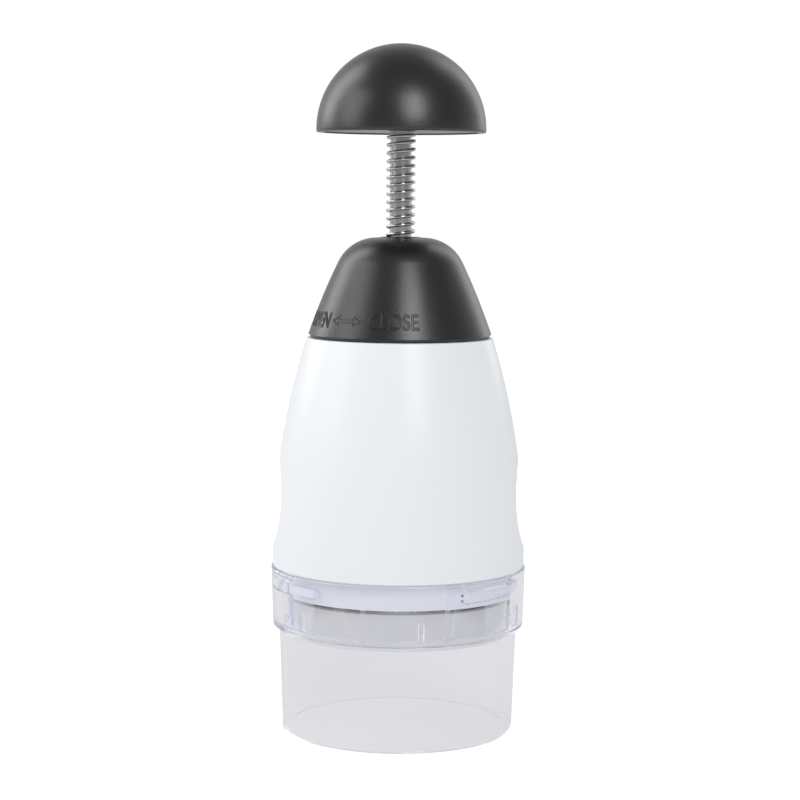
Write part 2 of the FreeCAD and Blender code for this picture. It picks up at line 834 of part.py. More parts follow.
def make_return_spring():
    halves = math.ceil(2 * coil_turns)
    turns = [coil_turns * k / halves for k in range(halves + 1)]
    edges = []
    for a, b in zip(turns, turns[1:]):
        edges += biarc(coil_point(a), coil_point(b), coil_tangent(a), coil_tangent(b))
    path = Part.Wire(edges)
    section = Part.Wire(Part.Circle(coil_point(0.0), coil_tangent(0.0), wire_r).toShape())
    shell = Part.BRepOffsetAPI.MakePipeShell(path)
    shell.add(section)
    shell.build()
    shell.makeSolid()
    print("spring: %.1f turns, least gap to itself %.2f mm" % (coil_turns, least_coil_gap()))
    return shell.shape()


def least_coil_gap():
    """Least gap between the wire and the next turn of it, on points."""
    per_turn = 36
    points = [coil_point(k / per_turn) for k in range(int(coil_turns * per_turn))]
    nearest = min(a.distanceToPoint(b) for k, a in enumerate(points)
                  for b in points[k + per_turn // 2:k + 2 * per_turn])
    return nearest - 2 * wire_r


def make_parts():
    front = make_front_shell()
    pin = make_hinge_pin()
    return {
        "cup": make_cup(),
        "front_shell": front,
        "rear_shell": turned(front, 180.0),
        "holder_ring": make_holder_ring(),
        "front_hinge_pin": pin,
        "rear_hinge_pin": turned(pin, 180.0),
        "crown_plate": make_crown_plate(),
        "wiper_disc": make_wiper_disc(),
        "zigzag_blade": make_zigzag_blade(),
        "blade_carrier": make_blade_carrier(),
        "carrier_screw": make_screw(head_floor_z - washer_t, rod_foot_z + foot_tap_depth),
        "carrier_washer": ring(screw_hole_r, washer_r, head_floor_z - washer_t, head_floor_z),
        "index_cam": make_index_cam(),
        "index_pin": make_index_pin(),
        "push_rod": make_push_rod(),
        "knob_base": make_knob_base(),
        "knob_dome": make_knob_dome(),
        "knob_screw": make_screw(hub_top_z + washer_t, rod_top_z - top_tap_depth),
        "knob_washer": ring(screw_hole_r, washer_r, hub_top_z, hub_top_z + washer_t),
        "cap_cone": make_cap_cone(),
        "rod_bushing": make_rod_bushing(),
        "spring_washer": ring(rod_r + rod_gap, seat_washer_r, seat_washer_z,
                              seat_washer_z + seat_washer_t),
        "return_spring": make_return_spring(),
    }


os.makedirs("parts", exist_ok=True)
for name, shape in make_parts().items():
    box = shape.BoundBox
    print("%-16s solids %d valid %s volume %9.1f z %.2f to %.2f" % (
        name, len(shape.Solids), shape.isValid(), shape.Volume, box.ZMin, box.ZMax))
    shape.exportStep(os.path.join("parts", name + ".step"))
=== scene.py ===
import math

import bmesh
import bpy
from mathutils import Matrix, Vector


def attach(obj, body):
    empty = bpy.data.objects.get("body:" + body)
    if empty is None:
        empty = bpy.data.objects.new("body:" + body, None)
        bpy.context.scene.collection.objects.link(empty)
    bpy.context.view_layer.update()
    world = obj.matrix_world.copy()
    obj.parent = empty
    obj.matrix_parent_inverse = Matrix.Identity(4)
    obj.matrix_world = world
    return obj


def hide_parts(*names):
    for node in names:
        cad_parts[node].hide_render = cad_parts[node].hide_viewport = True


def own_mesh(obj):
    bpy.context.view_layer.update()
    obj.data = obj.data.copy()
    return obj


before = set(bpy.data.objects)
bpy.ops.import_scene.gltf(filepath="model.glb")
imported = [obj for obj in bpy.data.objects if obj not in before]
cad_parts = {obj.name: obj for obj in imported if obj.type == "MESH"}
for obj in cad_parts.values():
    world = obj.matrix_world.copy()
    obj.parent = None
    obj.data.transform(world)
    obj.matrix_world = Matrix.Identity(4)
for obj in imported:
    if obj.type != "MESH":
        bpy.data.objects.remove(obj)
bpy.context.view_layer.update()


# The clear cup
# One styrene moulding, open at the bottom, with a wider collar at the top. Inside the collar
# are three pads with a bayonet track each and six ribs, drawn as one wall that moves in and out.

MM = 0.001
CUP_FOOT_R, CUP_TOP_R, CUP_WALL = 39.1, 40.3, 1.9
SHOULDER_Z, SHOULDER_THICK = 35.4, 2.2
COLLAR_FOOT_R, COLLAR_RIM_R, COLLAR_WALL, COLLAR_RIM_Z = 42.5, 43.15, 1.7, 55.7
FOOT_ROUND, SHOULDER_ROUND, COLLAR_ROUND, RIM_ROUND, FLOOR_ROUND = 0.5, 0.4, 1.5, 0.45, 0.4
PAD_START, PAD_END, PAD_THICK, PAD_TOP_Z, PAD_PITCH = 22.7, 60.7, 1.7, 54.5, 120.0
TRACK_START, TRACK_LOW_Z, TRACK_HIGH_Z, TRACK_RISE, TRACK_DEPTH = 33.0, 49.2, 52.65, 0.15, 1.4
DETENT_R, DETENT_Z = 2.4, 50.9
RIB_FIRST, RIB_PITCH, RIB_WIDTH, RIB_DEPTH, RIB_TOP_Z = 10.5, 60.0, 2.0, 1.2, 44.4
MOULD_BLEND, RIM_FALL = 0.35, 0.3
CUP_ROWS, CUP_WALL_STEPS = 720, 72
ROUND_SHARE, MERGE_GAP = 0.45, 1e-7


def smooth_step(low, high, value):
    """Eases from 0 to 1 while the value goes from low to high."""
    t = min(max((value - low) / (high - low), 0.0), 1.0)
    return t * t * (3.0 - 2.0 * t)


def rounded(corners, steps=6, support=0.25):
    """An outline of (r, z, radius) corners with its corners rounded, closed."""
    path = []
    count = len(corners)
    for k, (r, z, radius) in enumerate(corners):
        here = Vector((r, z))
        if radius <= 0.0:
            path.append((r, z))
            continue
        back = Vector(corners[k - 1][:2]) - here
        ahead = Vector(corners[(k + 1) % count][:2]) - here
        half = back.angle(ahead) / 2.0
        reach = min(radius / math.tan(half), ROUND_SHARE * min(back.length, ahead.length))
        radius = reach * math.tan(half)
        back.normalize()
        ahead.normalize()
        centre = here + (back + ahead).normalized() * (radius / math.sin(half))
        first = here + back * reach - centre
        last = here + ahead * reach - centre
        sweep = first.angle_signed(last)
        path.append(tuple(here + back * (reach + support)))
        for step in range(steps + 1):
            turn = Matrix.Rotation(-sweep * step / steps, 2)
            path.append(tuple(centre + turn @ first))
        path.append(tuple(here + ahead * (reach + support)))
    return path


def bowed(start, end, bow_r, steps):
    """Points of an arc from start to end, bulging away from the axis."""
    a, b = Vector(start), Vector(end)
    chord = b - a
    outward = Vector((chord.y, -chord.x)).normalized()
    if outward.x < 0:
        outward = -outward
    centre = (a + b) / 2.0 - outward * math.sqrt(bow_r ** 2 - (chord.length / 2.0) ** 2)
    sweep = (a - centre).angle_signed(b - centre)
    return [tuple(centre + Matrix.Rotation(-sweep * k / steps, 2) @ (a - centre))
            for k in range(steps + 1)]


def finished(name, mesh_data, crease=32.0):
    """Links a mesh as an object with smooth faces and sharp edges past an angle."""
    mesh_data.shade_smooth()
    mesh_data.set_sharp_from_angle(angle=math.radians(crease))
    piece = bpy.data.objects.new(name, mesh_data)
    bpy.context.scene.collection.objects.link(piece)
    return piece


def ring_mesh(name, rows, closed_turn=True, closed_rows=True):
    """Joins rows of points, one row per angle, into a skin. Rows are lists of (r, theta, z)."""
    points = []
    for row in rows:
        for r, theta, z in row:
            turn = math.radians(theta)
            points.append((r * math.sin(turn) * MM, -r * math.cos(turn) * MM, z * MM))
    width = len(rows[0])
    faces = []
    row_count = len(rows)
    for i in range(row_count if closed_turn else row_count - 1):
        j = (i + 1) % row_count
        for k in range(width if closed_rows else width - 1):
            m = (k + 1) % width
            faces.append((i * width + k, j * width + k, j * width + m, i * width + m))
    if not closed_turn and closed_rows:
        faces.append(tuple(range(width)))
        faces.append(tuple(reversed(range((row_count - 1) * width, row_count * width))))
    mesh_data = bpy.data.meshes.new(name)
    mesh_data.from_pydata(points, [], faces)
    return tidied(mesh_data)


def tidied(mesh_data):
    """Merges doubled points and turns every face outwards."""
    work = bmesh.new()
    work.from_mesh(mesh_data)
    bmesh.ops.remove_doubles(work, verts=work.verts, dist=MERGE_GAP)
    bmesh.ops.recalc_face_normals(work, faces=work.faces)
    work.to_mesh(mesh_data)
    work.free()
    return mesh_data


def turned_on_axis(name, outline, turns=256):
    """A lathe-turned mesh of a closed (r, z) outline."""
    step = 360.0 / turns
    rows = [[(r, k * step, z) for r, z in outline] for k in range(turns)]
    return ring_mesh(name, rows)


def track_share(along, z):
    """How deep the bayonet track is cut at a place on a pad, from 0 to 1."""
    rise = TRACK_RISE * min(along / (PAD_END - TRACK_START), 1.0)
    low, high = TRACK_LOW_Z + rise, TRACK_HIGH_Z + rise
    arc = math.radians(along) * COLLAR_FOOT_R
    across = smooth_step(low - MOULD_BLEND, low, z) * (1 - smooth_step(high, high + MOULD_BLEND, z))
    channel = across * smooth_step(-MOULD_BLEND, 0.0, arc)
    reach = math.hypot(arc, z - DETENT_Z)
    socket = 1 - smooth_step(DETENT_R - MOULD_BLEND, DETENT_R, reach)
    return max(channel, socket)


def collar_inner(theta, z):
    """Radius of the collar's inner face, with its pads, tracks and ribs."""
    share = (z - SHOULDER_Z) / (COLLAR_RIM_Z - SHOULDER_Z)
    wall = COLLAR_FOOT_R + (COLLAR_RIM_R - COLLAR_FOOT_R) * share - COLLAR_WALL
    on_pad = theta % PAD_PITCH
    edge = math.degrees(MOULD_BLEND / COLLAR_FOOT_R)
    pad = smooth_step(PAD_START - edge, PAD_START, on_pad)
    pad *= 1 - smooth_step(PAD_END, PAD_END + edge, on_pad)
    pad *= 1 - smooth_step(PAD_TOP_Z - MOULD_BLEND, PAD_TOP_Z, z)
    depth = pad * (PAD_THICK - TRACK_DEPTH * track_share(on_pad - TRACK_START, z))
    on_rib = (theta - RIB_FIRST + RIB_PITCH / 2) % RIB_PITCH - RIB_PITCH / 2
    side = abs(math.radians(on_rib)) * COLLAR_FOOT_R
    above = max(0.0, z - (RIB_TOP_Z - RIB_WIDTH / 2))
    reach = math.hypot(side, above)
    rib = 1 - smooth_step(RIB_WIDTH / 2 - MOULD_BLEND, RIB_WIDTH / 2, reach)
    return wall - max(depth, rib * RIB_DEPTH)


rim_inner = (COLLAR_RIM_R - COLLAR_WALL, COLLAR_RIM_Z)
cup_outside = rounded([
    (CUP_FOOT_R, 0.0, FOOT_ROUND), (CUP_TOP_R, SHOULDER_Z, SHOULDER_ROUND),
    (COLLAR_FOOT_R, SHOULDER_Z, COLLAR_ROUND), (COLLAR_RIM_R, COLLAR_RIM_Z, RIM_ROUND),
    (*rim_inner, 0.0), (CUP_TOP_R - CUP_WALL, SHOULDER_Z, 0.0),
    (CUP_FOOT_R - CUP_WALL, 0.0, FOOT_ROUND),
])
rim_at = cup_outside.index(rim_inner)


def cup_row(theta):
    """The cup's wall at an angle, up the outside and down over the pads and ribs."""
    top_z, floor_z = COLLAR_RIM_Z - RIM_FALL, SHOULDER_Z + SHOULDER_THICK
    row = [(r, theta, z) for r, z in cup_outside[:rim_at]]
    for step in range(CUP_WALL_STEPS + 1):
        z = top_z - (top_z - floor_z) * step / CUP_WALL_STEPS
        row.append((collar_inner(theta, z), theta, z))
    row.append((CUP_TOP_R - CUP_WALL + FLOOR_ROUND, theta, floor_z))
    row.append((CUP_TOP_R - CUP_WALL, theta, floor_z - FLOOR_ROUND))
    return row + [(r, theta, z) for r, z in cup_outside[rim_at + 2:]]


cup_rows = [cup_row(k * 360.0 / CUP_ROWS) for k in range(CUP_ROWS)]
cup_moulding = finished("cup_moulding", ring_mesh("cup_moulding", cup_rows), 40.0)
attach(cup_moulding, "cup")
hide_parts("cup")

CUP_TINT, CUP_PASSING_TINT = (0.98, 0.98, 0.99), (0.94, 0.94, 0.975)
CUP_DEEP_TINT, CUP_DENSITY = (0.74, 0.75, 0.92), 26.0
CLEAR_GRAIN, PLASTIC_IOR, GUIDED_BOUNCES = 400.0, 1.5, 5.5
GRAIN_DETAIL, CLOUD_SCALE, CLOUD_DETAIL, BUMP_DEPTH = 3.0, 60.0, 2.0, 0.0001


def new_material(name):
    """A new material, with its nodes, its links and its main shader."""
    made = bpy.data.materials.new(name)
    made.use_nodes = True
    nodes = made.node_tree.nodes
    return made, nodes, made.node_tree.links, nodes["Principled BSDF"]


def grain_group():
    """Shader group: even moulded grain, as a roughness and a normal."""
    group = bpy.data.node_groups.new("moulded_grain", "ShaderNodeTree")
    socket = group.interface.new_socket
    for label, value in (("Scale", 2500.0), ("Depth", 0.1), ("Rough Low", 0.3),
                         ("Rough High", 0.4)):
        socket(label, in_out="INPUT", socket_type="NodeSocketFloat").default_value = value
    socket("Roughness", in_out="OUTPUT", socket_type="NodeSocketFloat")
    socket("Normal", in_out="OUTPUT", socket_type="NodeSocketVector")
    nodes, links = group.nodes, group.links
    given = nodes.new("NodeGroupInput")
    result = nodes.new("NodeGroupOutput")
    place = nodes.new("ShaderNodeTexCoord")
    fine = nodes.new("ShaderNodeTexNoise")
    fine.inputs["Detail"].default_value = GRAIN_DETAIL
    cloud = nodes.new("ShaderNodeTexNoise")
    cloud.inputs["Scale"].default_value = CLOUD_SCALE
    cloud.inputs["Detail"].default_value = CLOUD_DETAIL
    span = nodes.new("ShaderNodeMapRange")
    bump = nodes.new("ShaderNodeBump")
    bump.inputs["Distance"].default_value = BUMP_DEPTH
    links.new(place.outputs["Object"], fine.inputs["Vector"])
    links.new(place.outputs["Object"], cloud.inputs["Vector"])
    links.new(given.outputs["Scale"], fine.inputs["Scale"])
    links.new(cloud.outputs["Fac"], span.inputs["Value"])
    links.new(given.outputs["Rough Low"], span.inputs["To Min"])
    links.new(given.outputs["Rough High"], span.inputs["To Max"])
    links.new(given.outputs["Depth"], bump.inputs["Strength"])
    links.new(fine.outputs["Fac"], bump.inputs["Height"])
    links.new(span.outputs["Result"], result.inputs["Roughness"])
    links.new(bump.outputs["Normal"], result.inputs["Normal"])
    return group


moulded_grain = grain_group()


def add_grain(nodes, links, shader, scale, depth, low, high):
    """Gives a shader the moulded grain, with a size, a depth and a span of roughness."""
    grain = nodes.new("ShaderNodeGroup")
    grain.node_tree = moulded_grain
    for label, value in (("Scale", scale), ("Depth", depth), ("Rough Low", low),
                         ("Rough High", high)):
        grain.inputs[label].default_value = value
    links.new(grain.outputs["Roughness"], shader.inputs["Roughness"])
    links.new(grain.outputs["Normal"], shader.inputs["Normal"])


def math_result(nodes, links, operation, first, second=None):
    """The result of a math node whose inputs are numbers or other nodes' results."""
    node = nodes.new("ShaderNodeMath")
    node.operation = operation
    for place, value in enumerate((first, second)):
        if isinstance(value, (int, float)):
            node.inputs[place].default_value = value
        elif value is not None:
            links.new(value, node.inputs[place])
    return node.outputs[0]


def mixed_shader(nodes, links, share, first, second):
    """Goes from the first shader to the second as the share goes from 0 to 1."""
    either = nodes.new("ShaderNodeMixShader")
    links.new(share, either.inputs["Fac"])
    links.new(first, either.inputs[1])
    links.new(second, either.inputs[2])
    return either.outputs["Shader"]


def clear_plastic(name, tint, passing_tint, low, high, depth):
    """Clear plastic that lets lamp light, and light guided on inside a wall, straight out."""
    made, nodes, links, shader = new_material(name)
    shader.inputs["Base Color"].default_value = (*tint, 1.0)
    shader.inputs["Transmission Weight"].default_value = 1.0
    shader.inputs["IOR"].default_value = PLASTIC_IOR
    add_grain(nodes, links, shader, CLEAR_GRAIN, depth, low, high)
    rays = nodes.new("ShaderNodeLightPath").outputs
    lit = math_result(nodes, links, "MAXIMUM", rays["Is Shadow Ray"], rays["Is Diffuse Ray"])
    guided = math_result(nodes, links, "GREATER_THAN", rays["Ray Depth"], GUIDED_BOUNCES)
    straight = math_result(nodes, links, "MAXIMUM", lit, guided)
    passing = nodes.new("ShaderNodeBsdfTransparent")
    passing.inputs["Color"].default_value = (*passing_tint, 1.0)
    surface = mixed_shader(nodes, links, straight, shader.outputs["BSDF"],
                           passing.outputs["BSDF"])
    links.new(surface, nodes["Material Output"].inputs["Surface"])
    return made


def deepen(material, colour, density):
    """Tints a clear material by the length of the light's way through it."""
    nodes, links = material.node_tree.nodes, material.node_tree.links
    depths = nodes.new("ShaderNodeVolumeAbsorption")
    depths.inputs["Color"].default_value = (*colour, 1.0)
    depths.inputs["Density"].default_value = density
    links.new(depths.outputs["Volume"], nodes["Material Output"].inputs["Volume"])


cup_clear = clear_plastic("cup_clear", CUP_TINT, CUP_PASSING_TINT, 0.015, 0.05, 0.02)
deepen(cup_clear, CUP_DEEP_TINT, CUP_DENSITY)
cup_moulding.data.materials.append(cup_clear)


# The white housing shells
# Two equal half shells in glossy white ABS, with a thumb rest over each seam and a neck on top.
# They close along the sides and swing on pins in the holder ring, under the cup's rim.

SHELL_FOOT_Z, SHELL_R, SHELL_BAND_Z = 56.0, 42.65, 59.8
SHELL_TOP_Z, SHELL_TOP_R, SHELL_WALL = 133.1, 31.3, 2.2
SHELL_ROUND, SHELL_FOOT_IN, SHELL_FOOT_SUPPORT = 0.45, 1.0, 0.2
SHELL_SIDE_LOW, SHELL_SIDE_HIGH, SHELL_STEPS, SHELL_INNER_STEPS = 0.3, 0.5, 96, 32
THUMB_X, THUMB_Z, THUMB_R, THUMB_BLEND, THUMB_LEAST_SINE = 92.25, 81.06, 53.1, 0.12, 0.2
SEAM_GAP, NECK_R, NECK_WALL, NECK_TOP_Z = 0.12, 24.3, 2.0, 139.5
SEAM_TURN, SEAM_ROWS, SHELL_TURN = 0.6, 44, 2.0
QUARTER_TURN = (0.4, 0.8, 1.2, math.pi / 2)
# The rounded top edge, in from the side and down from the top
SHELL_TOP_EDGE = ((0.12, 0.2), (0.45, 0.0), (1.0, 0.0))
shell_fall = SHELL_R - SHELL_TOP_R
shell_rise = SHELL_TOP_Z - SHELL_BAND_Z
SHELL_BOW_R = (shell_fall ** 2 + shell_rise ** 2) / (2 * shell_fall)


def shell_radius(theta, z, wall):
    """Radius of the shell's side at an angle and height, moved in by a wall."""
    climb = max(0.0, z - SHELL_BAND_Z)
    bow = SHELL_BOW_R - wall
    side = SHELL_R - SHELL_BOW_R + math.sqrt(bow ** 2 - climb ** 2)
    scoop_r = THUMB_R + wall
    off = z - THUMB_Z
    sine = abs(math.sin(math.radians(theta)))
    if abs(off) >= scoop_r or sine < THUMB_LEAST_SINE:
        return side
    thumb = (THUMB_X - math.sqrt(scoop_r ** 2 - off ** 2)) / sine
    gap = thumb - side
    return (side + thumb - math.sqrt(gap ** 2 + THUMB_BLEND ** 2)) / 2


def shell_row(theta):
    """The shell's wall at an angle, up the outside, over the neck and down the inside."""
    row = [(SHELL_R - SHELL_FOOT_IN, theta, SHELL_FOOT_Z),
           (SHELL_R - SHELL_ROUND - SHELL_FOOT_SUPPORT, theta, SHELL_FOOT_Z)]
    row += [(SHELL_R - SHELL_ROUND + SHELL_ROUND * math.sin(a), theta,
             SHELL_FOOT_Z + SHELL_ROUND - SHELL_ROUND * math.cos(a))
            for a in (0.0, *QUARTER_TURN)]
    low, high = SHELL_FOOT_Z + SHELL_ROUND + SHELL_SIDE_LOW, SHELL_TOP_Z - SHELL_SIDE_HIGH
    for k in range(SHELL_STEPS + 1):
        z = low + (high - low) * k / SHELL_STEPS
        row.append((shell_radius(theta, z, 0.0), theta, z))
    top_r = shell_radius(theta, high, 0.0)
    row += [(top_r - inward, theta, SHELL_TOP_Z - down) for inward, down in SHELL_TOP_EDGE]
    roof_z = SHELL_TOP_Z - SHELL_WALL
    row += [(NECK_R, theta, SHELL_TOP_Z), (NECK_R, theta, NECK_TOP_Z),
            (NECK_R - NECK_WALL, theta, NECK_TOP_Z), (NECK_R - NECK_WALL, theta, roof_z)]
    for k in range(SHELL_INNER_STEPS + 1):
        z = roof_z - (roof_z - SHELL_FOOT_Z) * k / SHELL_INNER_STEPS
        row.append((shell_radius(theta, z, SHELL_WALL), theta, z))
    return row


def shell_angles():
    """Angles from seam to seam, close together over the thumb rests."""
    edge = 90.0 - math.degrees(SEAM_GAP / 2 / SHELL_R)
    near = [edge - SEAM_TURN * k for k in range(SEAM_ROWS)]
    middle = [near[-1] - SHELL_TURN * (k + 1) for k in range(int(near[-1] // SHELL_TURN))]
    half = near + middle
    return [-a for a in half] + list(reversed(half))


def glossy_plastic(name, colour, shine, scale, depth, low, high):
    """Opaque moulded plastic with a chosen strength of reflection."""
    made, nodes, links, shader = new_material(name)
    shader.inputs["Base Color"].default_value = (*colour, 1.0)
    shader.inputs["Specular IOR Level"].default_value = shine
    add_grain(nodes, links, shader, scale, depth, low, high)
    return made


shell_white = glossy_plastic("shell_white", (0.86, 0.88, 0.9), 0.3, 900.0, 0.03, 0.27, 0.29)


def add_shell(name, node, turn):
    """One half shell, turned round the axis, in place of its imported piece."""
    rows = [[(r, theta + turn, z) for r, theta, z in shell_row(theta)]
            for theta in shell_angles()]
    shell = finished(name, ring_mesh(name, rows, closed_turn=False))
    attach(shell, "housing")
    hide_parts(node)
    shell.data.materials.append(shell_white)


def dress(names, finish):
    """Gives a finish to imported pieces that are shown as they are."""
    for name in names:
        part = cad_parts[name]
        part.data.materials.clear()
        part.data.materials.append(finish)


add_shell("front_shell_moulding", "front_shell", 0.0)
add_shell("rear_shell_moulding", "rear_shell", 180.0)
dress(("holder_ring", "crown_plate"), shell_white)


# The wiper
# A milky moulding that turns with the blade. Snap tabs on its neck hold it in the ring, and
# its floor has a slot for every run of the blade, which scrapes it clean as it comes back up.


def merged_copy(name, node, crease):
    """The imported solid's own surface, with its loose triangles joined and its curves smooth."""
    return finished(name, tidied(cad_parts[node].data.copy()), crease)


def hazy_plastic(name, colour, haze, low, high, depth):
    """Thin plastic that is seen through, with a light haze on each face."""
    made, nodes, links, shader = new_material(name)
    shader.inputs["Base Color"].default_value = (*colour, 1.0)
    shader.inputs["Alpha"].default_value = haze
    shader.inputs["IOR"].default_value = PLASTIC_IOR
    add_grain(nodes, links, shader, CLEAR_GRAIN, depth, low, high)
    return made


wiper_milky = hazy_plastic("wiper_milky", (0.95, 0.95, 0.93), 0.45, 0.1, 0.18, 0.03)
wiper = merged_copy("wiper_moulding", "wiper_disc", 25.0)
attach(wiper, "wiper")
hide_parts("wiper_disc")
wiper.data.materials.clear()
wiper.data.materials.append(wiper_milky)


# The blade and its carrier
# One stainless strip folded to and fro, ground to an edge along its foot and moulded into a
# black carrier that is screwed to the foot of the push rod.

BRUSH_SCALE, BRUSH_DETAIL, BRUSH_STRENGTH = 900.0, 4.0, 0.08


def brushed_steel(name, colour, low, high, stretch):
    """Steel with fine lines that are drawn out by a stretch along each axis."""
    made, nodes, links, shader = new_material(name)
    shader.inputs["Base Color"].default_value = (*colour, 1.0)
    shader.inputs["Metallic"].default_value = 1.0
    place = nodes.new("ShaderNodeTexCoord")
    lay = nodes.new("ShaderNodeMapping")
    lay.inputs["Scale"].default_value = stretch
    lines = nodes.new("ShaderNodeTexNoise")
    lines.inputs["Scale"].default_value = BRUSH_SCALE
    lines.inputs["Detail"].default_value = BRUSH_DETAIL
    span = nodes.new("ShaderNodeMapRange")
    span.inputs["To Min"].default_value = low
    span.inputs["To Max"].default_value = high
    bump = nodes.new("ShaderNodeBump")
    bump.inputs["Strength"].default_value = BRUSH_STRENGTH
    bump.inputs["Distance"].default_value = BUMP_DEPTH
    links.new(place.outputs["Object"], lay.inputs["Vector"])
    links.new(lay.outputs["Vector"], lines.inputs["Vector"])
    links.new(lines.outputs["Fac"], span.inputs["Value"])
    links.new(span.outputs["Result"], shader.inputs["Roughness"])
    links.new(lines.outputs["Fac"], bump.inputs["Height"])
    links.new(bump.outputs["Normal"], shader.inputs["Normal"])
    return made


blade_steel = brushed_steel("blade_steel", (0.86, 0.85, 0.84), 0.06, 0.12, (1.0, 1.0, 12.0))
black_satin = glossy_plastic("black_satin", (0.008, 0.008, 0.009), 0.9, 2600.0, 0.5, 0.28, 0.36)
dress(("zigzag_blade",), blade_steel)
dress(("blade_carrier", "index_cam", "knob_base"), black_satin)


# The black cap
# A bowed cone in grained black plastic that twists onto the neck of the shells. Its top turns
# in to a well for the spring, and raised words on its side say which way it locks.

CAP_SKIRT_R, CAP_SKIRT_Z, CAP_FOOT_R, CAP_FOOT_Z = 30.2, 133.25, 30.9, 134.1
CAP_HEAD_R, CAP_HEAD_Z, CAP_BOW_R, CAP_SHOULDER_R = 20.91, 158.39, 228.0, 14.4
CAP_WALL, CAP_DROP, CAP_ROOF, CAP_STEPS, CAP_SIDE_LOW = 2.0, 0.8, 3.0, 24, 0.3
WELL_R, WELL_WALL, WELL_FLOOR_Z, WELL_THICK, ROD_BORE_R = 5.7, 1.7, 138.0, 3.0, 3.9
LIP_R, LIP_RISE, SKIRT_WALL, SKIRT_EDGE = 0.45, 0.25, 1.6, 0.2
# The slope up to the lip, out and up, and the rounded foot, in and up
LIP_SLOPE = ((0.75, 0.0), (0.45, 0.2), (0.0, LIP_RISE))
CAP_FOOT_EDGE = ((0.35, 0.0), (0.08, 0.12))
cap_side = bowed((CAP_FOOT_R, CAP_FOOT_Z), (CAP_HEAD_R, CAP_HEAD_Z), CAP_BOW_R, CAP_STEPS)
head_slope = Vector(cap_side[-1]) - Vector(cap_side[-2])
head_out = Vector((head_slope.y, -head_slope.x)).normalized()
turn_centre = Vector(cap_side[-1]) - head_out * CAP_SHOULDER_R
head_angle = math.atan2(head_out.y, head_out.x)
cap_shoulder = []
for k in range(1, CAP_STEPS + 1):
    lean = head_angle + (math.pi / 2 - head_angle) * k / CAP_STEPS
    cap_shoulder.append((turn_centre.x + CAP_SHOULDER_R * math.cos(lean),
                         turn_centre.y + CAP_SHOULDER_R * math.sin(lean)))
CAP_TOP_Z = cap_shoulder[-1][1]
cap_lip = [(WELL_R + LIP_R + out, CAP_TOP_Z + up) for out, up in LIP_SLOPE]
cap_lip += [(WELL_R + LIP_R - LIP_R * math.sin(a),
             CAP_TOP_Z + LIP_RISE - LIP_R + LIP_R * math.cos(a)) for a in QUARTER_TURN]
cap_outline = [(CAP_SKIRT_R - SKIRT_WALL, CAP_SKIRT_Z), (CAP_SKIRT_R - SKIRT_EDGE, CAP_SKIRT_Z),
               (CAP_SKIRT_R, CAP_SKIRT_Z + SKIRT_EDGE), (CAP_SKIRT_R, CAP_FOOT_Z)]
cap_outline += [(CAP_FOOT_R - inward, CAP_FOOT_Z + up) for inward, up in CAP_FOOT_EDGE]
cap_outline += [(r, z) for r, z in cap_side if z > CAP_FOOT_Z + CAP_SIDE_LOW]
cap_outline += cap_shoulder + cap_lip
cap_outline += [(WELL_R, WELL_FLOOR_Z), (ROD_BORE_R, WELL_FLOOR_Z),
                (ROD_BORE_R, WELL_FLOOR_Z - WELL_THICK),
                (WELL_R + WELL_WALL, WELL_FLOOR_Z - WELL_THICK),
                (WELL_R + WELL_WALL, CAP_TOP_Z - CAP_ROOF)]
cap_outline += [(r - CAP_WALL, z - CAP_DROP) for r, z in reversed(cap_side[2:])]
cap_cone = finished("cap_cone_moulding", turned_on_axis("cap_cone_moulding", cap_outline))
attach(cap_cone, "cap")
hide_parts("cap_cone")
cap_cone.data.materials.append(black_satin)

WORD_HEIGHT, WORD_MIDDLE_Z, WORD_CUT, WORD_SIZE, WORD_SMOOTHNESS = 5.3, 139.8, 0.7, 1.35, 6
RIDGE_R, RIDGE_LIFT, RIDGE_SMOOTHNESS = 0.19, 0.03, 2
CLOSE_WIDTH, CLOSE_THETA, OPEN_WIDTH, OPEN_THETA = 16.8, -4.3, 14.4, -67.0
ARROW_WIDTH, ARROW_HEIGHT, ARROW_THETA = 12.0, 3.4, -38.0


def cap_radius(z):
    """Radius of the cap's side at a height."""
    for (r0, z0), (r1, z1) in zip(cap_side, cap_side[1:]):
        if z0 <= z <= z1:
            return r0 + (r1 - r0) * (z - z0) / (z1 - z0)
    return cap_side[-1][0]


def wrap_on_cap(mesh_data, middle_theta):
    """Lays a flat drawing, in millimetres, round the cap's side, cut fine enough to bend."""
    work = bmesh.new()
    work.from_mesh(mesh_data)
    reach = max(abs(vertex.co.x) for vertex in work.verts)
    cuts = int(reach / WORD_CUT)
    for k in range(-cuts, cuts + 1):
        everything = work.verts[:] + work.edges[:] + work.faces[:]
        bmesh.ops.bisect_plane(work, geom=everything, plane_co=(k * WORD_CUT, 0, 0),
                               plane_no=(1, 0, 0))
    for vertex in work.verts:
        x, y, height = vertex.co
        z = WORD_MIDDLE_Z + y
        r = cap_radius(z) + height + RIDGE_LIFT
        turn = math.radians(middle_theta) + x / cap_radius(WORD_MIDDLE_Z)
        vertex.co = (r * math.sin(turn) * MM, -r * math.cos(turn) * MM, z * MM)
    work.to_mesh(mesh_data)
    work.free()


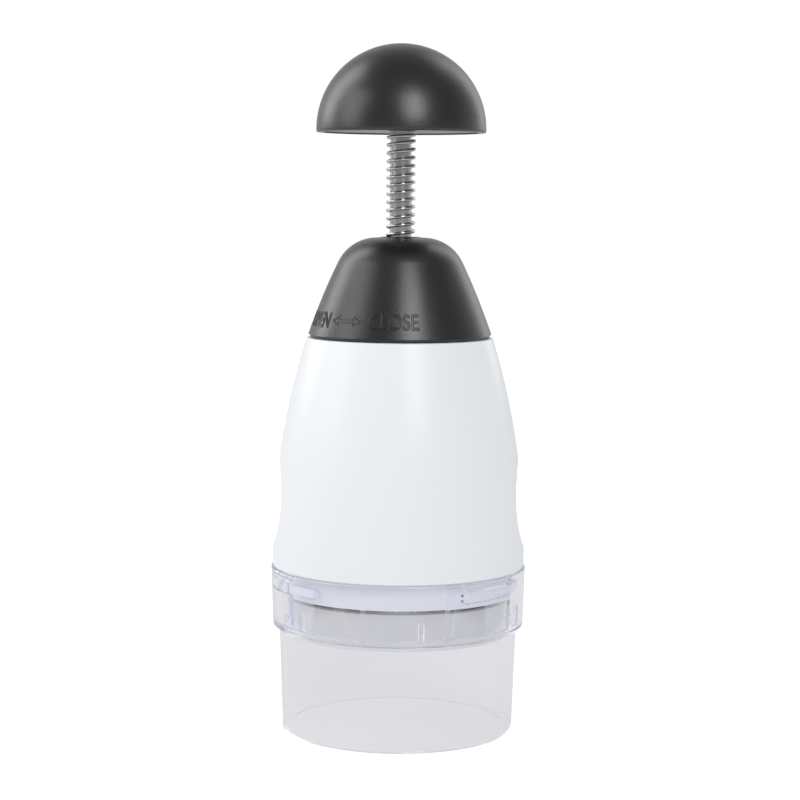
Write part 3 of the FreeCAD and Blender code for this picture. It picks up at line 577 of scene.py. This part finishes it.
def add_ridges(name, curve, width, height, middle_theta):
    """Raises a thin ridge from the cap along every line of a flat drawing."""
    curve.fill_mode = "NONE"
    curve.bevel_depth = RIDGE_R
    curve.bevel_resolution = RIDGE_SMOOTHNESS
    drawing = bpy.data.objects.new(name + "_drawing", curve)
    bpy.context.scene.collection.objects.link(drawing)
    graph = bpy.context.evaluated_depsgraph_get()
    flat = bpy.data.meshes.new_from_object(drawing.evaluated_get(graph))
    bpy.data.objects.remove(drawing)
    xs = [vertex.co.x for vertex in flat.vertices]
    ys = [vertex.co.y for vertex in flat.vertices]
    left, right, low, high = min(xs), max(xs), min(ys), max(ys)
    for vertex in flat.vertices:
        vertex.co.x = (vertex.co.x - (right + left) / 2) * width / (right - left)
        vertex.co.y = (vertex.co.y - (high + low) / 2) * height / (high - low)
    wrap_on_cap(flat, middle_theta)
    word = finished(name, tidied(flat), 60.0)
    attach(word, "cap")
    word.data.materials.append(black_satin)


def word_curve(text):
    """A word in outline letters, lying flat."""
    curve = bpy.data.curves.new("word_" + text.lower(), "FONT")
    curve.body = text
    curve.size = WORD_SIZE * WORD_HEIGHT
    curve.resolution_u = WORD_SMOOTHNESS
    return curve


def arrow_curve(length, height, shaft, head):
    """The outline of a flat arrow with a head at each end."""
    half = length / 2
    side = [(-half, 0.0), (-half + head, height / 2), (-half + head, shaft / 2),
            (half - head, shaft / 2), (half - head, height / 2), (half, 0.0)]
    loop = side + [(x, -y) for x, y in reversed(side[1:-1])]
    curve = bpy.data.curves.new("arrow", "CURVE")
    line = curve.splines.new("POLY")
    line.points.add(len(loop) - 1)
    for point, (x, y) in zip(line.points, loop):
        point.co = (x, y, 0.0, 1.0)
    line.use_cyclic_u = True
    return curve


add_ridges("cap_word_close", word_curve("CLOSE"), CLOSE_WIDTH, WORD_HEIGHT, CLOSE_THETA)
add_ridges("cap_word_open", word_curve("OPEN"), OPEN_WIDTH, WORD_HEIGHT, OPEN_THETA)
add_ridges("cap_arrow", arrow_curve(length=11.5, height=3.2, shaft=1.1, head=2.6),
           ARROW_WIDTH, ARROW_HEIGHT, ARROW_THETA)


# The knob
# A black half ball with a small flat lip, closed from below by a screwed disc that carries
# the top of the push rod.

KNOB_R, KNOB_Z, KNOB_LIP_Z, KNOB_WALL = 28.4, 202.6, 201.5, 2.4
KNOB_STEPS, KNOB_INNER_STEPS = 64, 24
# The lip from the side to the inside, in and up
KNOB_LIP = ((0.0, 0.5), (0.12, 0.18), (0.4, 0.0), (KNOB_WALL, 0.0))
knob_outline = [(KNOB_R * math.sin(a), KNOB_Z + KNOB_R * math.cos(a))
                for a in (math.pi / 2 * k / KNOB_STEPS for k in range(KNOB_STEPS + 1))]
knob_outline += [(KNOB_R - inward, KNOB_LIP_Z + up) for inward, up in KNOB_LIP]
knob_inside = KNOB_R - KNOB_WALL
knob_outline += [(knob_inside * math.cos(a), KNOB_Z + knob_inside * math.sin(a))
                 for a in (math.pi / 2 * k / KNOB_INNER_STEPS
                           for k in range(KNOB_INNER_STEPS + 1))]


def turned_to_pole(name, outline, turns=256):
    """A lathe-turned mesh whose outline starts and ends on the axis."""
    rows = [[(max(r, 0.0), k * 360.0 / turns, z) for r, z in outline] for k in range(turns)]
    return ring_mesh(name, rows, closed_rows=False)


knob_dome = finished("knob_dome_moulding", turned_to_pole("knob_dome_moulding", knob_outline))
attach(knob_dome, "plunger")
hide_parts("knob_dome")
knob_dome.data.materials.append(black_satin)


# The push rod
# Ground stainless rod, tapped at both ends for the screws of the knob and the blade carrier.

ROD_R, ROD_FOOT_Z, ROD_TOP_Z, ROD_CHAMFER = 3.7, 75.5, 214.0, 0.5
rod_steel = brushed_steel("rod_steel", (0.6, 0.59, 0.57), 0.14, 0.26, (1.0, 1.0, 0.06))
rod_outline = [(0.0, ROD_FOOT_Z), (ROD_R - ROD_CHAMFER, ROD_FOOT_Z),
               (ROD_R, ROD_FOOT_Z + ROD_CHAMFER), (ROD_R, ROD_TOP_Z - ROD_CHAMFER),
               (ROD_R - ROD_CHAMFER, ROD_TOP_Z), (0.0, ROD_TOP_Z)]
rod = finished("push_rod_bar", turned_to_pole("push_rod_bar", rod_outline, turns=96))
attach(rod, "plunger")
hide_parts("push_rod")
rod.data.materials.append(rod_steel)


# The return spring
# Drawn spring wire, wound right-handed with a close turn at each end, that pushes the knob
# off the bottom of the cap's well.

WIRE_R, COIL_R, COIL_PITCH, END_PITCH, END_TURNS = 0.55, 4.4, 2.72, 1.7, 1.0
SPRING_LOW_Z, SPRING_TOP_Z, COIL_END_GAP = 138.6, 201.9, 0.05
TURN_POINTS, WIRE_SIDES = 48.0, 16
coil_low = SPRING_LOW_Z + COIL_END_GAP + WIRE_R
coil_high = SPRING_TOP_Z - COIL_END_GAP - WIRE_R
ACTIVE_TURNS = (coil_high - coil_low - 2 * END_TURNS * END_PITCH) / COIL_PITCH


def spring_tree(finish):
    """Geometry nodes: a wire wound on a helix with close turns at both ends."""
    tree = bpy.data.node_groups.new("wound_spring", "GeometryNodeTree")
    socket = tree.interface.new_socket
    socket("Geometry", in_out="OUTPUT", socket_type="NodeSocketGeometry")
    labels = ("Active Turns", "End Turns", "Pitch", "End Pitch", "Coil Radius", "Wire Radius",
              "Low")
    for label in labels:
        socket(label, in_out="INPUT", socket_type="NodeSocketFloat")
    nodes, links = tree.nodes, tree.links
    given = nodes.new("NodeGroupInput")
    result = nodes.new("NodeGroupOutput")

    def maths(operation, first, second=None):
        return math_result(nodes, links, operation, first, second)

    value = given.outputs
    closed = value["End Turns"]
    both = maths("MULTIPLY", closed, 2.0)
    turns = maths("ADD", value["Active Turns"], both)
    line = nodes.new("GeometryNodeCurvePrimitiveLine")
    dense = nodes.new("GeometryNodeResampleCurve")
    links.new(line.outputs["Curve"], dense.inputs["Curve"])
    links.new(maths("MULTIPLY", turns, TURN_POINTS), dense.inputs["Count"])
    along = nodes.new("GeometryNodeSplineParameter").outputs["Factor"]
    turn = maths("MULTIPLY", along, turns)
    angle = maths("MULTIPLY", turn, 2 * math.pi)
    low_turns = maths("MINIMUM", turn, closed)
    after = maths("SUBTRACT", maths("SUBTRACT", turn, closed), value["Active Turns"])
    high_turns = maths("MAXIMUM", after, 0.0)
    end_turns = maths("ADD", low_turns, high_turns)
    open_turns = maths("SUBTRACT", turn, end_turns)
    climb = maths("ADD", maths("MULTIPLY", end_turns, value["End Pitch"]),
                  maths("MULTIPLY", open_turns, value["Pitch"]))
    where = nodes.new("ShaderNodeCombineXYZ")
    links.new(maths("MULTIPLY", maths("SINE", angle), value["Coil Radius"]), where.inputs["X"])
    back = maths("MULTIPLY", maths("COSINE", angle), value["Coil Radius"])
    links.new(maths("MULTIPLY", back, -1.0), where.inputs["Y"])
    links.new(maths("ADD", climb, value["Low"]), where.inputs["Z"])
    place = nodes.new("GeometryNodeSetPosition")
    links.new(dense.outputs["Curve"], place.inputs["Geometry"])
    links.new(where.outputs["Vector"], place.inputs["Position"])
    section = nodes.new("GeometryNodeCurvePrimitiveCircle")
    section.inputs["Resolution"].default_value = WIRE_SIDES
    links.new(value["Wire Radius"], section.inputs["Radius"])
    wire = nodes.new("GeometryNodeCurveToMesh")
    wire.inputs["Fill Caps"].default_value = True
    links.new(place.outputs["Geometry"], wire.inputs["Curve"])
    links.new(section.outputs["Curve"], wire.inputs["Profile Curve"])
    solid = nodes.new("GeometryNodeRealizeInstances")
    links.new(wire.outputs["Mesh"], solid.inputs["Geometry"])
    coat = nodes.new("GeometryNodeSetMaterial")
    coat.inputs["Material"].default_value = finish
    links.new(solid.outputs["Geometry"], coat.inputs["Geometry"])
    links.new(coat.outputs["Geometry"], result.inputs["Geometry"])
    return tree


def grown(name, tree, sizes):
    """Runs a geometry tree with its sizes, in metres, and keeps the mesh it makes."""
    holder = bpy.data.objects.new(name + "_source", bpy.data.meshes.new(name + "_source"))
    bpy.context.scene.collection.objects.link(holder)
    growth = holder.modifiers.new("grow", "NODES")
    growth.node_group = tree
    for item in tree.interface.items_tree:
        if item.item_type == "SOCKET" and item.in_out == "INPUT" and item.name in sizes:
            growth[item.identifier] = sizes[item.name]
    holder.update_tag()
    graph = bpy.context.evaluated_depsgraph_get()
    made = bpy.data.meshes.new_from_object(holder.evaluated_get(graph), depsgraph=graph)
    made.name = name
    bpy.data.objects.remove(holder)
    return made


spring_steel = brushed_steel("spring_steel", (0.5, 0.49, 0.48), 0.12, 0.22, (1.0, 1.0, 1.0))
wound = grown("return_spring_wire", spring_tree(spring_steel), {
    "Active Turns": ACTIVE_TURNS, "End Turns": END_TURNS, "Pitch": COIL_PITCH * MM,
    "End Pitch": END_PITCH * MM, "Coil Radius": COIL_R * MM, "Wire Radius": WIRE_R * MM,
    "Low": coil_low * MM,
})
spring = finished("return_spring_wire", tidied(wound), 60.0)
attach(spring, "cap")
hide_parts("return_spring")
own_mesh(spring)


# Small fixings
# Screws, washers, pins and the bushing, all bought parts, plain steel and plain plastic.

FIXING_GRAIN, FIXING_GRAIN_DEPTH = 600.0, 0.02


def plain_material(name, colour, metallic, low, high):
    """Plain metal or plastic with a little grain."""
    made, nodes, links, shader = new_material(name)
    shader.inputs["Base Color"].default_value = (*colour, 1.0)
    shader.inputs["Metallic"].default_value = metallic
    add_grain(nodes, links, shader, FIXING_GRAIN, FIXING_GRAIN_DEPTH, low, high)
    return made


fixing_steel = plain_material("fixing_steel", (0.6, 0.6, 0.61), 1.0, 0.25, 0.35)
bushing_cream = plain_material("bushing_cream", (0.75, 0.74, 0.7), 0.0, 0.4, 0.5)
dress(("carrier_screw", "carrier_washer", "index_pin", "knob_screw", "knob_washer",
       "front_hinge_pin", "rear_hinge_pin", "spring_washer"), fixing_steel)
dress(("rod_bushing",), bushing_cream)


# The board, the light and the camera
# A plain white table in a white room with large soft lamps, as for a catalogue photograph.
# What the parts mirror is dim on the camera's side and bright behind and below them.

TABLE_REACH, TABLE_ROUGHNESS, TABLE_SHINE = 3.0, 0.9, 0.1
TABLE_GREY, TABLE_GLOW, TABLE_GLOW_SEEN = (0.2, 0.2, 0.2), 0.59, 0.95
ROOM_TINT, ROOM_LIGHT, BACKDROP_LIGHT = (0.95, 0.97, 1.0), 0.5, 1.02
MIRROR_TOWARDS, MIRROR_FROM, MIRROR_TO = (0.1, 0.9, -0.5), -0.2, 0.6
MIRROR_DIM, MIRROR_DIM_IN_PLASTIC, MIRROR_BRIGHT = 0.28, 0.68, 0.88
LAMP_AIM_Z = 0.12

table_mesh = bpy.data.meshes.new("table_top")
table_mesh.from_pydata([(-TABLE_REACH, -TABLE_REACH, 0), (TABLE_REACH, -TABLE_REACH, 0),
                        (TABLE_REACH, TABLE_REACH, 0), (-TABLE_REACH, TABLE_REACH, 0)],
                       [], [(0, 1, 2, 3)])
table = bpy.data.objects.new("table_top", table_mesh)
bpy.context.scene.collection.objects.link(table)


def table_finish():
    """Matt white that glows, and glows more where the camera looks at it."""
    made, nodes, links, shader = new_material("table_white")
    shader.inputs["Base Color"].default_value = (*TABLE_GREY, 1.0)
    shader.inputs["Roughness"].default_value = TABLE_ROUGHNESS
    shader.inputs["Specular IOR Level"].default_value = TABLE_SHINE
    shader.inputs["Emission Color"].default_value = (1.0, 1.0, 1.0, 1.0)
    rays = nodes.new("ShaderNodeLightPath").outputs
    glow = nodes.new("ShaderNodeMapRange")
    glow.inputs["To Min"].default_value = TABLE_GLOW
    glow.inputs["To Max"].default_value = TABLE_GLOW_SEEN
    links.new(rays["Is Camera Ray"], glow.inputs["Value"])
    links.new(glow.outputs["Result"], shader.inputs["Emission Strength"])
    return made


table_mesh.materials.append(table_finish())


def light_room():
    """The white room, what is mirrored of it, and the backdrop that the camera sees."""
    world = bpy.data.worlds.new("studio")
    bpy.context.scene.world = world
    world.use_nodes = True
    nodes, links = world.node_tree.nodes, world.node_tree.links
    room = nodes["Background"]
    room.inputs["Color"].default_value = (*ROOM_TINT, 1.0)
    room.inputs["Strength"].default_value = ROOM_LIGHT
    rays = nodes.new("ShaderNodeLightPath").outputs
    way = nodes.new("ShaderNodeTexCoord")
    away = nodes.new("ShaderNodeVectorMath")
    away.operation = "DOT_PRODUCT"
    away.inputs[1].default_value = MIRROR_TOWARDS
    fall = nodes.new("ShaderNodeMapRange")
    fall.inputs["From Min"].default_value = MIRROR_FROM
    fall.inputs["From Max"].default_value = MIRROR_TO
    fall.inputs["To Max"].default_value = MIRROR_BRIGHT
    inside = nodes.new("ShaderNodeMapRange")
    inside.inputs["To Min"].default_value = MIRROR_DIM
    inside.inputs["To Max"].default_value = MIRROR_DIM_IN_PLASTIC
    links.new(rays["Transmission Depth"], inside.inputs["Value"])
    links.new(inside.outputs["Result"], fall.inputs["To Min"])
    links.new(way.outputs["Generated"], away.inputs[0])
    links.new(away.outputs["Value"], fall.inputs["Value"])
    mirrored = nodes.new("ShaderNodeBackground")
    links.new(fall.outputs["Result"], mirrored.inputs["Strength"])
    backdrop = nodes.new("ShaderNodeBackground")
    backdrop.inputs["Color"].default_value = (1.0, 1.0, 1.0, 1.0)
    backdrop.inputs["Strength"].default_value = BACKDROP_LIGHT
    sharp = math_result(nodes, links, "MAXIMUM", rays["Is Glossy Ray"],
                        rays["Is Transmission Ray"])
    around = mixed_shader(nodes, links, sharp, room.outputs["Background"],
                          mirrored.outputs["Background"])
    seen = mixed_shader(nodes, links, rays["Is Camera Ray"], around,
                        backdrop.outputs["Background"])
    links.new(seen, nodes["World Output"].inputs["Surface"])


light_room()


def add_lamp(name, bearing, climb, distance, width, height, power):
    """A soft lamp at a bearing from the camera's side, to the right, and a height angle."""
    turn, lift = math.radians(bearing), math.radians(climb)
    way = Vector((math.sin(turn) * math.cos(lift), -math.cos(turn) * math.cos(lift),
                  math.sin(lift)))
    data = bpy.data.lights.new(name, "AREA")
    data.shape = "RECTANGLE"
    data.size = width
    data.size_y = height
    data.energy = power
    lamp = bpy.data.objects.new(name, data)
    bpy.context.scene.collection.objects.link(lamp)
    target = Vector((0.0, 0.0, LAMP_AIM_Z))
    turned = (-way).to_track_quat("-Z", "Y").to_matrix().to_4x4()
    lamp.matrix_world = Matrix.Translation(target + way * distance) @ turned


# Bearing and climb in degrees, distance, width and height in metres, power in watts
for lamp in (("left_lamp", -118.0, 32.0, 1.3, 0.6, 1.2, 6.2),
             ("side_lamp", -74.0, 26.0, 1.4, 0.8, 1.0, 4.8),
             ("front_lamp", 18.5, 32.0, 1.5, 0.5, 0.9, 8.0),
             ("right_lamp", 140.0, 30.0, 1.3, 0.5, 1.3, 2.2)):
    add_lamp(*lamp)

bpy.context.scene.view_settings.view_transform = "Standard"

CAMERA_Y, CAMERA_Z, CAMERA_PITCH, CAMERA_ROLL = -0.6998, 0.1809, 5.64, 0.42
CAMERA_SHIFT, CAMERA_NEAR = 0.0008, 0.01
FOCAL_PIXELS, FRAME_PIXELS, SENSOR = 2079.1, 800, 36.0
view = bpy.data.cameras.new("camera")
view.sensor_width = SENSOR
view.lens = FOCAL_PIXELS * SENSOR / FRAME_PIXELS
view.shift_x = CAMERA_SHIFT
view.clip_start = CAMERA_NEAR
camera = bpy.data.objects.new("camera", view)
bpy.context.scene.collection.objects.link(camera)
camera.matrix_world = (Matrix.Translation((0.0, CAMERA_Y, CAMERA_Z))
                       @ Matrix.Rotation(math.radians(90.0 - CAMERA_PITCH), 4, "X")
                       @ Matrix.Rotation(math.radians(CAMERA_ROLL), 4, "Z"))
bpy.context.scene.camera = camera
